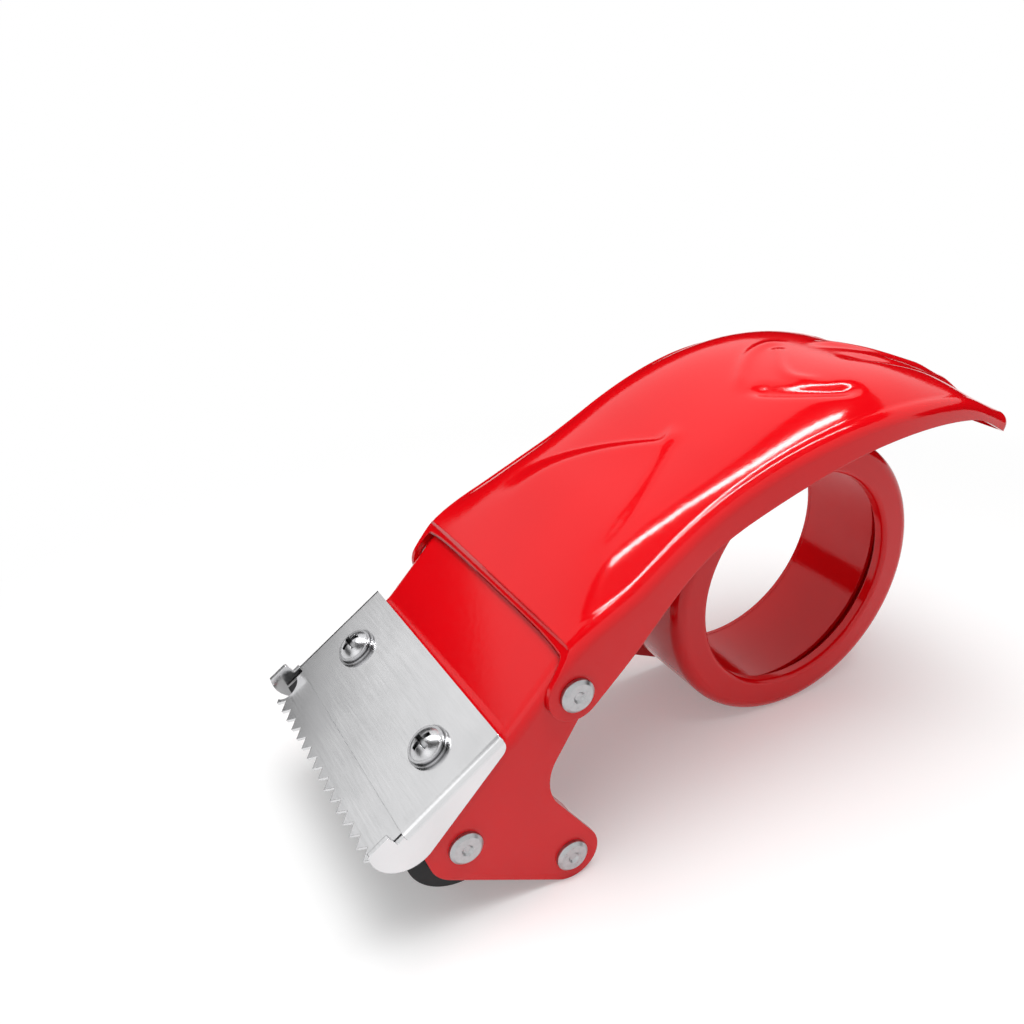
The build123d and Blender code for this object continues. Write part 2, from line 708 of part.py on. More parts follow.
def biarc(start, start_dir, end, end_dir):
    """Two arcs that join start to end along the given directions."""
    chord = end - start
    both = start_dir + end_dir
    a = both.dot(both) - 4
    b = -2 * chord.dot(both)
    c = chord.dot(chord)
    reach = (-b - sqrt(b * b - 4 * a * c)) / (2 * a)
    joint = (start + start_dir * reach + end - end_dir * reach) * 0.5
    TangentArc(start, joint, tangent=start_dir)
    TangentArc(joint, end, tangent=end - end_dir * reach - joint)


angles = [rear_angle + i * STEP for i in range(QUARTERS + 1)]
rear_end = coil_point(angles[0]) - coil_tangent(angles[0]) * LEG_REAR
front_end = coil_point(angles[-1]) + coil_tangent(angles[-1]) * LEG_FRONT
with BuildPart() as return_spring:
    with BuildLine() as spring_path:
        Line(rear_end, coil_point(angles[0]))
        for first, second in zip(angles, angles[1:]):
            biarc(coil_point(first), coil_tangent(first), coil_point(second), coil_tangent(second))
        Line(coil_point(angles[-1]), front_end)
    with BuildSketch(Plane(origin=rear_end, z_dir=coil_tangent(angles[0]))):
        Circle(SPRING_WIRE / 2)
    sweep(path=spring_path.wire())
return_spring.part.label = "return_spring"

# Least gap between neighbouring turns, measured on points of the centre line
SAMPLES = 48 * SPRING_TURNS
path = spring_path.wire()
points = [path.position_at(i / SAMPLES) for i in range(SAMPLES + 1)]
apart = ceil(0.5 * SAMPLES / (SPRING_TURNS + (LEG_FRONT + LEG_REAR) / (2 * pi * SPRING_R)))
least_gap = min(
    (q - p).length - SPRING_WIRE for i, p in enumerate(points) for q in points[i + apart :]
)
print("spring's least gap to itself, mm:", round(least_gap, 3))
if least_gap <= LEAST_COIL_GAP:
    raise ValueError("the spring's turns are too close")

os.makedirs("parts", exist_ok=True)
PIECES = (
    main_frame,
    hub_drum,
    hub_liner,
    handle_shell,
    hinge_pin,
    hinge_spacer,
    hinge_washers,
    return_spring,
    roller_core,
    roller_tyre,
    roller_bushes,
    roller_axle,
    roller_washers,
    guide_pin,
    guide_sleeve,
    cover_plate,
    blade,
    wiper_flap,
    cover_washers,
    cover_nuts,
    cover_screws,
)
for piece in PIECES:
    export_step(piece.part, f"parts/{piece.part.label}.step")
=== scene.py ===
"""Looks of a hand-held tape cutter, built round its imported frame, in metres and in the frame's axes."""

import json
import math

import bmesh
import bpy
import numpy as np
from bpy.props import FloatProperty, FloatVectorProperty, PointerProperty
from mathutils import Matrix, Vector


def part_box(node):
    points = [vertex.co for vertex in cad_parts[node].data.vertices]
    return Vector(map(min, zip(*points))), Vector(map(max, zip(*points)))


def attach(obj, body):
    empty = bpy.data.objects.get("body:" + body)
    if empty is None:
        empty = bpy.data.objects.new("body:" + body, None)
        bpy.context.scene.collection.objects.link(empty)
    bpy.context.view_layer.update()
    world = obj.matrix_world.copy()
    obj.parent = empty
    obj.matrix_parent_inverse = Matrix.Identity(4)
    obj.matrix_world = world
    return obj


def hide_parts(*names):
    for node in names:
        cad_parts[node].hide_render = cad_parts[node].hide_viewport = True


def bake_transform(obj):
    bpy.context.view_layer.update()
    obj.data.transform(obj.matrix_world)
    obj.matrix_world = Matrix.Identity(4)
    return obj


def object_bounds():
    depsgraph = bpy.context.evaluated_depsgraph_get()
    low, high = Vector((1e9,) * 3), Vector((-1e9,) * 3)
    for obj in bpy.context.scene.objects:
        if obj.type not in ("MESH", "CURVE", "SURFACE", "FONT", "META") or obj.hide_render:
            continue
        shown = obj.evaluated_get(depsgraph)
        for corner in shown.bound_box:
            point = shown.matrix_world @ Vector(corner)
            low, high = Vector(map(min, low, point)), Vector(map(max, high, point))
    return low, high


bl_info = {
    "name": "Tape cutter",
    "version": (1, 0, 0),
    "blender": (4, 5, 0),
    "location": "3D View > Sidebar > Tape Cutter",
    "description": "Dresses a packed tape cutter: pressed handle, enamel, steel and rubber",
    "category": "Object",
}

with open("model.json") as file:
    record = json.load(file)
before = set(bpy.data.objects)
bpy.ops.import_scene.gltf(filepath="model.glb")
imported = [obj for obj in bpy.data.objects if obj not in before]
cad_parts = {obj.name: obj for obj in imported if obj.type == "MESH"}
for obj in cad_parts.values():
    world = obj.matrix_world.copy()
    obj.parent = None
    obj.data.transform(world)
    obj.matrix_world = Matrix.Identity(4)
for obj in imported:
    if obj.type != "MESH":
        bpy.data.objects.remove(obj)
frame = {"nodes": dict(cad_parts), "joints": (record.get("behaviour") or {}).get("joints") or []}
CAD_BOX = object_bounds()
NODES = frame["nodes"]
JOINTS = {joint["name"]: joint for joint in frame["joints"]}
MM = 0.001

# Places of the frame that the handle is built from
HINGE = (JOINTS["handle_press"]["pos_m"][0], JOINTS["handle_press"]["pos_m"][2])
HANDLE_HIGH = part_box("handle_shell")[1]
TABLE_Z = CAD_BOX[0].z


def step(value, low, high):
    """0 below low, 1 above high, and a smooth rise between them."""
    t = np.clip((value - low) / (high - low), 0, 1)
    return t * t * (3 - 2 * t)


class TapeCutterHandle(bpy.types.PropertyGroup):
    """Sizes of the pressed handle."""

    sheet: FloatProperty(
        name="Sheet", description="Thickness of the sheet", default=1.2 * MM, unit="LENGTH"
    )
    bend: FloatProperty(
        name="Bend", description="Outer radius of the bends along both sides", default=3.1 * MM,
        unit="LENGTH",
    )
    front: FloatVectorProperty(
        name="Front", description="X and Z where the arc of the top starts", size=2,
        default=(-83.8 * MM, 19.9 * MM), unit="LENGTH",
    )
    setback: FloatProperty(
        name="Setback", description="How far back of the arc's start the front edge is cut",
        default=1.3 * MM, unit="LENGTH",
    )
    top: FloatVectorProperty(
        name="Highest point", description="X and Z of the side bends' highest point", size=2,
        default=(-2.0 * MM, 53.5 * MM), unit="LENGTH",
    )
    ear: FloatProperty(
        name="Ear", description="Radius of the ear round the hinge pin", default=6.0 * MM, unit="LENGTH"
    )
    hole: FloatProperty(
        name="Hinge hole", description="Radius of the hole in each ear", default=2.05 * MM, unit="LENGTH"
    )
    corner: FloatVectorProperty(
        name="Skirt corner", description="X and Z from the hinge to the skirt's front corner", size=2,
        default=(15.3 * MM, 6.7 * MM), unit="LENGTH",
    )
    skirt_top: FloatVectorProperty(
        name="Skirt's top", description="X and Z of the highest point of the skirt's edge", size=2,
        default=(4.8 * MM, 47.6 * MM), unit="LENGTH",
    )
    skirt: FloatProperty(
        name="Skirt", description="Radius of the skirt's lower edge", default=98.3 * MM, unit="LENGTH"
    )


class TapeCutterFinish(bpy.types.PropertyGroup):
    """Colours of the finishes."""

    enamel: FloatVectorProperty(
        name="Enamel", description="Colour of the powder coat", subtype="COLOR", size=3,
        default=(0.80, 0.002, 0.006), min=0, max=1,
    )
    stainless: FloatVectorProperty(
        name="Stainless", description="Colour of the cover and the blade", subtype="COLOR", size=3,
        default=(0.72, 0.72, 0.73), min=0, max=1,
    )
    steel: FloatVectorProperty(
        name="Steel", description="Colour of pins, screws and washers", subtype="COLOR", size=3,
        default=(0.46, 0.46, 0.47), min=0, max=1,
    )
    rubber: FloatVectorProperty(
        name="Rubber", description="Colour of the roller's tyre", subtype="COLOR", size=3,
        default=(0.010, 0.010, 0.011), min=0, max=1,
    )


class TapeCutterStage(bpy.types.PropertyGroup):
    """Camera and light."""

    place: FloatVectorProperty(
        name="Camera", description="Place of the camera", size=3,
        default=(-165.1 * MM, -166.3 * MM, 123.4 * MM), unit="LENGTH",
    )
    azimuth: FloatProperty(
        name="Azimuth", description="Side that the camera looks from", default=math.radians(-27.79),
        unit="ROTATION",
    )
    elevation: FloatProperty(
        name="Elevation", description="Height that the camera looks from", default=math.radians(25.31),
        unit="ROTATION",
    )
    roll: FloatProperty(
        name="Roll", description="Tilt of the camera about its own axis", default=math.radians(-0.77),
        unit="ROTATION",
    )
    lens: FloatProperty(name="Lens", description="Focal length on a 36 mm sensor, in mm", default=35.26)
    ambient: FloatProperty(name="Ambient", description="Light of the white room", default=0.36)
    key: FloatProperty(
        name="Key", description="Power of the broad lamp overhead", default=3.5, unit="POWER"
    )
    strip: FloatProperty(
        name="Strip", description="Power of the narrow lamp overhead", default=2.5, unit="POWER"
    )
    fill: FloatProperty(
        name="Fill", description="Power of the lamp at the left", default=0.25, unit="POWER"
    )


def settings(kind):
    """The scene's sizes or colours of that kind."""
    return getattr(bpy.context.scene, "tape_cutter_" + kind)


# Finishes


def finish_nodes(name):
    """New material, its node tree, its shader and its object coordinates."""
    material = bpy.data.materials.new(name)
    material.use_nodes = True
    tree = material.node_tree
    shader = tree.nodes["Principled BSDF"]
    place = tree.nodes.new("ShaderNodeTexCoord")
    return material, tree, shader, place.outputs["Object"]


def noise(tree, place, scale, detail, stretch=(1, 1, 1)):
    """Noise in object space, scale in cells a metre, stretched along an axis where asked."""
    mapping = tree.nodes.new("ShaderNodeMapping")
    mapping.inputs["Scale"].default_value = stretch
    tree.links.new(place, mapping.inputs["Vector"])
    texture = tree.nodes.new("ShaderNodeTexNoise")
    texture.inputs["Scale"].default_value = scale
    texture.inputs["Detail"].default_value = detail
    tree.links.new(mapping.outputs["Vector"], texture.inputs["Vector"])
    return texture.outputs["Fac"]


def spread(tree, factor, low, high, ends=(0.3, 0.7)):
    """The factor between ends, mapped to the range from low to high."""
    remap = tree.nodes.new("ShaderNodeMapRange")
    remap.inputs["From Min"].default_value = ends[0]
    remap.inputs["From Max"].default_value = ends[1]
    remap.inputs["To Min"].default_value = low
    remap.inputs["To Max"].default_value = high
    tree.links.new(factor, remap.inputs["Value"])
    return remap.outputs["Result"]


def tint(tree, factor, dark, light):
    """Colour between dark and light by the factor."""
    ramp = tree.nodes.new("ShaderNodeValToRGB")
    ramp.color_ramp.elements[0].color = (*dark, 1)
    ramp.color_ramp.elements[1].color = (*light, 1)
    tree.links.new(factor, ramp.inputs["Fac"])
    return ramp.outputs["Color"]


def painted_hollow_shade(tree, colour, reach, least, ends=(0.45, 0.85)):
    """Colour with painted shade: it falls to a least share of itself where less than ends of the sky within
    reach is open.
    """
    hollow = tree.nodes.new("ShaderNodeAmbientOcclusion")
    hollow.samples = 8
    hollow.inputs["Distance"].default_value = reach
    scaled = tree.nodes.new("ShaderNodeVectorMath")
    scaled.operation = "SCALE"
    tree.links.new(colour, scaled.inputs[0])
    tree.links.new(spread(tree, hollow.outputs["AO"], least, 1.0, ends), scaled.inputs["Scale"])
    return scaled.outputs["Vector"]


def round_edges(tree, radius):
    """Normal that is rounded over sharp edges by the radius in metres."""
    bevel = tree.nodes.new("ShaderNodeBevel")
    bevel.samples = 6
    bevel.inputs["Radius"].default_value = radius
    return bevel.outputs["Normal"]


def bump(tree, height, distance, normal):
    """The normal, roughened by a bump of that height, distance in metres."""
    node = tree.nodes.new("ShaderNodeBump")
    node.inputs["Distance"].default_value = distance
    tree.links.new(height, node.inputs["Height"])
    tree.links.new(normal, node.inputs["Normal"])
    return node.outputs["Normal"]


def shade(colour, factor):
    """Colour made darker or lighter by the factor."""
    return tuple(min(1.0, channel * factor) for channel in colour)


def enamel_material(name="red_enamel_coat", peel=0.010):
    """Glossy powder coat with orange peel of that height in mm."""
    material, tree, shader, place = finish_nodes(name)
    colour = settings("finish").enamel
    cloud = noise(tree, place, 30, 2)
    tree.links.new(
        tint(tree, spread(tree, cloud, 0, 1), shade(colour, 0.96), shade(colour, 1.03)),
        shader.inputs["Base Color"],
    )
    grain = noise(tree, place, 900, 2)
    tree.links.new(spread(tree, grain, 0.09, 0.13), shader.inputs["Roughness"])
    rounded = round_edges(tree, 0.35 * MM)
    tree.links.new(bump(tree, grain, peel * MM, rounded), shader.inputs["Normal"])
    shader.inputs["Specular IOR Level"].default_value = 0.35
    return material


def stainless_material():
    """Rolled stainless sheet with fine grain and faint scuffs."""
    material, tree, shader, place = finish_nodes("rolled_stainless")
    colour = settings("finish").stainless
    grain = noise(tree, place, 2600, 3, (1, 0.04, 1))
    cloud = noise(tree, place, 60, 3)
    tree.links.new(
        tint(tree, spread(tree, cloud, 0, 1), shade(colour, 0.94), shade(colour, 1.06)),
        shader.inputs["Base Color"],
    )
    tree.links.new(spread(tree, grain, 0.17, 0.25), shader.inputs["Roughness"])
    shader.inputs["Metallic"].default_value = 1.0
    rounded = round_edges(tree, 0.2 * MM)
    tree.links.new(bump(tree, grain, 0.0012 * MM, rounded), shader.inputs["Normal"])
    return material


def polished_material():
    """Polished steel of the cover's screws and washers, with painted shade in their recesses and contact
    rings.
    """
    material, tree, shader, place = finish_nodes("polished_steel_head")
    colour = settings("finish").steel
    cloud = noise(tree, place, 350, 2)
    unshaded = tint(tree, spread(tree, cloud, 0, 1), shade(colour, 1.25), shade(colour, 1.40))
    # Painted shade: the colour darkens by ambient occlusion in the screws' cross recesses and where the
    # washers meet the cover.
    tree.links.new(painted_hollow_shade(tree, unshaded, 1.2 * MM, 0.12), shader.inputs["Base Color"])
    tree.links.new(spread(tree, cloud, 0.25, 0.30), shader.inputs["Roughness"])
    shader.inputs["Metallic"].default_value = 1.0
    tree.links.new(round_edges(tree, 0.15 * MM), shader.inputs["Normal"])
    return material


def satin_material(name="satin_steel_pin", brightness=1.0):
    """Satin steel of rivets, washers, tubes and the spring."""
    material, tree, shader, place = finish_nodes(name)
    colour = shade(settings("finish").steel, brightness)
    cloud = noise(tree, place, 900, 3)
    tree.links.new(
        tint(tree, spread(tree, cloud, 0, 1), shade(colour, 0.90), shade(colour, 1.10)),
        shader.inputs["Base Color"],
    )
    tree.links.new(spread(tree, cloud, 0.26, 0.38), shader.inputs["Roughness"])
    shader.inputs["Metallic"].default_value = 1.0
    rounded = round_edges(tree, 0.25 * MM)
    tree.links.new(bump(tree, cloud, 0.004 * MM, rounded), shader.inputs["Normal"])
    return material


def rubber_material(name="black_rubber_tyre", rough=(0.28, 0.42)):
    """Black rubber or plastic with a fine skin."""
    material, tree, shader, place = finish_nodes(name)
    colour = settings("finish").rubber
    cloud = noise(tree, place, 500, 4)
    tree.links.new(
        tint(tree, spread(tree, cloud, 0, 1), shade(colour, 0.8), shade(colour, 1.5)),
        shader.inputs["Base Color"],
    )
    tree.links.new(spread(tree, cloud, *rough), shader.inputs["Roughness"])
    rounded = round_edges(tree, 0.3 * MM)
    tree.links.new(bump(tree, cloud, 0.006 * MM, rounded), shader.inputs["Normal"])
    shader.inputs["Specular IOR Level"].default_value = 0.25
    return material


def dress(nodes, material):
    """Gives CAD nodes a finish in place of their own."""
    for name in nodes:
        NODES[name].data.materials.clear()
        NODES[name].data.materials.append(material)


# Handle

# Turn from the top in degrees, and in mm: drawn in at each side, crown in the middle, sunk under the arc
HANDLE_SECTIONS = [
    (-60.0, 0.0, 0.1, 0.0),
    (-45.0, 0.0, 0.1, 0.0),
    (-41.5, 0.0, 0.4, 0.4),
    (-40.0, 0.1, 1.6, 1.6),
    (-38.0, 0.3, 3.0, 3.0),
    (-36.0, 0.6, 3.4, 3.5),
    (-33.0, 1.2, 3.3, 3.9),
    (-29.9, 2.4, 2.8, 4.3),
    (-24.3, 3.0, 2.1, 4.1),
    (-19.0, 2.4, 1.9, 3.0),
    (-13.9, 1.7, 2.4, 1.9),
    (-8.9, 0.9, 3.3, 0.9),
    (-3.9, 0.4, 4.3, 0.2),
    (1.0, 0.4, 4.9, 0.0),
    (6.0, 1.2, 4.5, 0.0),
    (11.0, 2.2, 2.8, 0.0),
    (16.0, 3.4, 0.9, 0.0),
    (20.6, 4.7, 0.3, 0.0),
]
# Turn in degrees, to each side, over which the sections run into one another
SECTION_EASE = 3.5
EASE_SAMPLES = 17
# Power of the crown's section, by turn: a high one is flat in the middle and steep at the sides
CROWN_POWER = ((-40.0, -12.0, 4.0, 20.0), (6.0, 4.5, 3.8, 3.0))
# Turns and rows of the stretch ahead of the front edge, then of the top up to the tail
FRONT_TURNS = (-56, -47)
FRONT_ROWS = 6
TOP_TURN = -46
TOP_ROWS = 190
COLUMNS = 97
BEND_ROWS = 8
CORNER_STEPS = 8
# Depth of the uncut flanges, and where their rows lie on it
FLANGE_DEPTH = 26 * MM
FLANGE_SHARES = np.array([0.12, 0.3, 0.55, 0.8, 1.0])
TAIL_BEND = 2.6 * MM
# Steps of the curves in the side view
EAR_STEPS = 32
SKIRT_STEPS = 120
HOLE_STEPS = 48
# Fewest faces of a handle that its booleans left whole
FEWEST_FACES = 1000
# Ridges and grooves pressed into the top: points (x, y), half width and height in mm
PRESSED_LINES = [
    ([(-22.0, -5.0), (-19.7, -10.8), (-15.8, -16.5), (-10.7, -20.7), (-5.0, -23.0)], 1.9, -1.1),
    ([(-24.0, -6.5), (-19.1, -0.2), (-11.9, 5.8), (-5.9, 7.8), (0.0, 6.0)], 1.6, 0.45),
    ([(-5.0, 4.5), (-7.0, 2.1), (-12.0, -4.9), (-13.4, -10.7), (-10.0, -17.0)], 1.4, 0.45),
    ([(2.0, 4.0), (12.0, -2.0), (24.0, -5.0), (37.0, -7.0)], 2.0, 0.9),
    ([(0.0, -7.0), (12.0, -12.0), (24.0, -14.5), (36.0, -16.0)], 2.6, -0.9),
    ([(11.0, 13.0), (20.0, 9.0), (30.0, 6.0), (39.0, 4.0)], 2.8, -1.1),
]
# Share of a line's length over which it fades in and out
LINE_FADE = 0.22
# A raised tongue with its tip towards the tail, in mm: its tip's x and y, its length, and its reach from
# there to the far and the near side, each widened by the margin, with its tip set on by the blunt
TONGUE_TIP = (-43.5, -5.5)
TONGUE_LEN = 25.0
TONGUE_FAR = 20.5
TONGUE_NEAR = 12.0
TONGUE_MARGIN = 1.5
TONGUE_BLUNT = 2.0
# How fast its near side leaves the tip: 1 is straight
TONGUE_NEAR_POWER = 1.3
# Its rise in mm, the share of it that is lost on the way to the near side, and the spans over which its
# far and near edges rise and its front fades out
TONGUE_RISE = 1.25
TONGUE_LOSS = 0.55
TONGUE_FAR_EDGE = (-4.0, 4.2)
TONGUE_NEAR_EDGE = (-1.8, 2.4)
TONGUE_FADE = (17.0, 31.0)
# The tail in mm: the span over which it starts, its lift in the middle, and its drops towards both sides,
# each with the span from the middle over which it grows
TAIL_START = (16.0, 38.0)
TAIL_LIFT = 0.6
TAIL_DROPS = ((2.7, 6.0, 17.0), (0.5, 16.0, 27.0))
# Dips of the skirt's edge, in the middle and towards the tail, each with its place along X
SKIRT_DIP = 1.7 * MM
SKIRT_DIP_X = -34 * MM
SKIRT_DIP_HALF = 20 * MM
TAIL_DIP = 2.8 * MM
TAIL_DIP_X = (22 * MM, 40 * MM)


def eased(turn, turns, values):
    """Values between the sections' ones, with no kink at a section."""
    shifts = np.linspace(-SECTION_EASE, SECTION_EASE, EASE_SAMPLES)
    return np.mean([np.interp(turn + shift, turns, values) for shift in shifts], axis=0)


def smooth_line(points, pieces=12):
    """Points of a Catmull-Rom line through the given ones."""
    points = [np.array(point) for point in points]
    ends = [2 * points[0] - points[1], *points, 2 * points[-1] - points[-2]]
    line = []
    for a, b, c, d in zip(ends, ends[1:], ends[2:], ends[3:]):
        for i in range(pieces):
            t = i / pieces
            square = (2 * a - 5 * b + 4 * c - d) * t**2
            cube = (3 * b - a - 3 * c + d) * t**3
            line.append(0.5 * (2 * b + (c - a) * t + square + cube))
    return np.array(line + [points[-1]])


def line_distance(x, y, line):
    """Distance from each point to the line, and how far along it the nearest place is, from 0 to 1."""
    best = np.full(x.shape, 1e9)
    along = np.zeros(x.shape)
    for i, (a, b) in enumerate(zip(line, line[1:])):
        run = b - a
        t = np.clip(((x - a[0]) * run[0] + (y - a[1]) * run[1]) / (run @ run), 0, 1)
        away = np.hypot(x - a[0] - t * run[0], y - a[1] - t * run[1])
        nearer = away < best
        best = np.where(nearer, away, best)
        along = np.where(nearer, (i + t) / (len(line) - 1), along)
    return best, along


def pressed_height(x, y):
    """Height in mm of everything pressed into the handle's top, at x and y in mm."""
    height = np.zeros(x.shape)
    for points, half_w, rise in PRESSED_LINES:
        away, along = line_distance(x, y, smooth_line(points))
        fade = step(along, 0.0, LINE_FADE) * (1 - step(along, 1.0 - LINE_FADE, 1.0))
        height += rise * fade * np.exp(-((away / half_w) ** 2))
    ahead = TONGUE_TIP[0] - x
    grow = np.clip(ahead / TONGUE_LEN, 0, 1)
    far = TONGUE_TIP[1] + TONGUE_FAR * (1 - (1 - grow) ** 2) + TONGUE_MARGIN
    near = TONGUE_TIP[1] - TONGUE_NEAR * (1 - (1 - grow) ** TONGUE_NEAR_POWER) - TONGUE_MARGIN
    share = np.clip((far - y) / np.maximum(far - near, 1.0), 0, 1)
    rise = TONGUE_RISE * (1 - TONGUE_LOSS * share)
    rise = rise * step(np.minimum(far - y, ahead + TONGUE_BLUNT), *TONGUE_FAR_EDGE)
    rise = rise * step(y - near, *TONGUE_NEAR_EDGE)
    height += rise * (1 - step(ahead, *TONGUE_FADE))
    # The tail's corners droop, and its middle is raised.
    lift = np.full(y.shape, TAIL_LIFT)
    for drop, start, end in TAIL_DROPS:
        lift -= drop * step(np.abs(y), start, end)
    height += step(x, *TAIL_START) * lift
    return height


def handle_profile(size):
    """Side view of the handle as (x, z) points: the ear, the skirt and a space above the top."""
    (fx, fz), (hx, hz) = (size.front[0] + size.setback, size.front[1]), HINGE
    corner = (hx + size.corner[0], hz + size.corner[1])
    centre = (size.skirt_top[0], size.skirt_top[1] - size.skirt)

    def tangent(start, end, leaving):
        """Angle at which a line from or to a point touches the ear, run anticlockwise."""
        run = (end[0] - start[0], end[1] - start[1])
        span = math.hypot(*run)
        return math.atan2(run[1], run[0]) - math.acos((size.ear if leaving else -size.ear) / span)

    first = tangent((fx, fz), (hx, hz), False) % (2 * math.pi)
    last = tangent((hx, hz), corner, True) % (2 * math.pi)
    points = [(fx, HANDLE_HIGH.z + size.bend), (fx, fz)]
    for i in range(EAR_STEPS + 1):
        turn = first + (last - first) * i / EAR_STEPS
        points.append((hx + size.ear * math.cos(turn), hz + size.ear * math.sin(turn)))
    start = math.atan2(corner[1] - centre[1], corner[0] - centre[0])
    end = math.acos((HANDLE_HIGH.x + 2 * size.bend - centre[0]) / size.skirt)
    for i in range(SKIRT_STEPS + 1):
        turn = start + (end - start) * i / SKIRT_STEPS
        x = centre[0] + size.skirt * math.cos(turn)
        dip = SKIRT_DIP * math.exp(-(((x - SKIRT_DIP_X) / SKIRT_DIP_HALF) ** 2))
        dip += TAIL_DIP * float(step(x, *TAIL_DIP_X))
        points.append((x, centre[1] + size.skirt * math.sin(turn) - dip))
    points.append((HANDLE_HIGH.x + 2 * size.bend, HANDLE_HIGH.z + size.bend))
    return points


def prism(name, outline, low_y, high_y):
    """Solid between two upright planes, from an outline of (x, z) points."""
    body = bmesh.new()
    face = body.faces.new([body.verts.new((x, low_y, z)) for x, z in outline])
    grown = bmesh.ops.extrude_face_region(body, geom=[face])
    moved = [item for item in grown["geom"] if isinstance(item, bmesh.types.BMVert)]
    bmesh.ops.translate(body, verts=moved, vec=(0, high_y - low_y, 0))
    bmesh.ops.recalc_face_normals(body, faces=body.faces)
    mesh = bpy.data.meshes.new(name)
    body.to_mesh(mesh)
    body.free()
    return mesh


def handle_surface(size):
    """Outer surface of the pressed handle as a mesh: top, side bends, flanges and the closed tail."""
    rise = size.top[1] - size.front[1]
    radius = ((size.top[0] - size.front[0]) ** 2 + rise**2) / (2 * rise)
    centre = (size.top[0], size.top[1] - radius)
    bend = size.bend
    turns, drawn, crowns, sunk = (np.array(column) for column in zip(*HANDLE_SECTIONS))
    tail_turn = math.degrees(math.asin((HANDLE_HIGH.x - centre[0]) / radius) - TAIL_BEND / radius)
    stations = np.concatenate(
        [np.linspace(*FRONT_TURNS, FRONT_ROWS), np.linspace(TOP_TURN, tail_turn, TOP_ROWS)]
    )
    columns = np.linspace(-1, 1, COLUMNS)
    down_rows = np.linspace(0, 1, BEND_ROWS + 1)[1:] * (math.pi / 2)
    flange = FLANGE_SHARES * FLANGE_DEPTH

    def drop_of(r):
        """(out, down) of each row that leads from the top round a bend and down its flange."""
        rows = [(r * math.sin(a), r * (1 - math.cos(a))) for a in down_rows]
        return rows + [(r, r + depth) for depth in flange]

    side_rows = drop_of(bend)
    tail_drop = drop_of(TAIL_BEND)

    halves = HANDLE_HIGH.y - eased(stations, turns, drawn) * MM - bend
    angles = np.radians(stations)
    ys = halves[:, None] * columns[None, :]
    xs = np.repeat((centre[0] + radius * np.sin(angles))[:, None], len(columns), axis=1)
    power = np.interp(stations, *CROWN_POWER)[:, None]
    crown = eased(stations, turns, crowns)[:, None] * (1 - np.abs(columns[None, :]) ** power)
    sink = eased(stations, turns, sunk)[:, None]
    reaches = radius + (crown - sink + pressed_height(xs / MM, ys / MM)) * MM

    def place(station, column, out, down):
        """Point of a station and column of the top, out towards a side and down."""
        reach = reaches[station, column] - down
        angle = angles[station]
        return (
            centre[0] + reach * math.sin(angle),
            ys[station, column] + out,
            centre[1] + reach * math.cos(angle),
        )

    body = bmesh.new()
    rows = []
    for i in range(len(stations)):
        low = [place(i, 0, -out, down) for out, down in reversed(side_rows)]
        mid = [place(i, column, 0, 0) for column in range(len(columns))]
        high = [place(i, -1, out, down) for out, down in side_rows]
        rows.append([body.verts.new(point) for point in low + mid + high])
    # The tail end: every column of the last station runs on round the tail's bend and down
    sides = len(side_rows)
    angle = angles[-1]
    ahead = np.array([math.cos(angle), 0, -math.sin(angle)])
    inward = np.array([-math.sin(angle), 0, -math.cos(angle)])
    tail_rows = []
    for out, down in tail_drop:
        line = []
        for column in range(len(columns)):
            base = np.array(place(-1, column, 0, 0))
            line.append(body.verts.new(base + ahead * out + inward * down))
        tail_rows.append(line)
    for a, b in zip(rows, rows[1:]):
        for i in range(len(a) - 1):
            body.faces.new((a[i], a[i + 1], b[i + 1], b[i]))
    edge = rows[-1][sides : sides + len(columns)]
    for a, b in zip([edge, *tail_rows], tail_rows):
        for i in range(len(columns) - 1):
            body.faces.new((a[i], a[i + 1], b[i + 1], b[i]))
    # Both corners: a fan from the side's bend to the tail's, row by row
    for sign, column, side_line in (
        (-1, 0, rows[-1][:sides][::-1]),
        (1, -1, rows[-1][sides + len(columns) :]),
    ):
        corner = edge[column]
        base = np.array(corner.co)
        outward = np.array([0, sign, 0])
        previous = side_line
        for k in range(1, CORNER_STEPS + 1):
            share = k / CORNER_STEPS
            if k == CORNER_STEPS:
                line = [row[column] for row in tail_rows]
            else:
                a = math.pi / 2 * share
                line = []
                for (side_out, side_down), (tail_out, tail_down) in zip(side_rows, tail_drop):
                    down = side_down + (tail_down - side_down) * share
                    point = base + inward * down
                    point = point + ahead * tail_out * math.sin(a) + outward * side_out * math.cos(a)
                    line.append(body.verts.new(point))
            body.faces.new((corner, previous[0], line[0]))
            for j in range(len(line) - 1):
                body.faces.new((previous[j], previous[j + 1], line[j + 1], line[j]))
            previous = line
    bmesh.ops.recalc_face_normals(body, faces=body.faces)
    mesh = bpy.data.meshes.new("handle_surface")
    body.to_mesh(mesh)
    body.free()
    return mesh


def linked(name, mesh):
    """Object with that mesh, in the scene."""
    made = bpy.data.objects.new(name, mesh)
    bpy.context.scene.collection.objects.link(made)
    return made


def applied(piece, name):
    """Mesh of the piece with its modifiers applied."""
    graph = bpy.context.evaluated_depsgraph_get()
    mesh = bpy.data.meshes.new_from_object(piece.evaluated_get(graph))
    mesh.name = name
    return mesh


def smooth(mesh, degrees=35):
    """Smooth shading that keeps edges sharp above the angle."""
    mesh.polygons.foreach_set("use_smooth", [True] * len(mesh.polygons))
    mesh.set_sharp_from_angle(angle=math.radians(degrees))


def cut(piece, tool, operation):
    """Adds a boolean of the tool to the piece."""
    boolean = piece.modifiers.new(tool.name, "BOOLEAN")
    boolean.operation = operation
    boolean.solver = "EXACT"
    boolean.object = tool


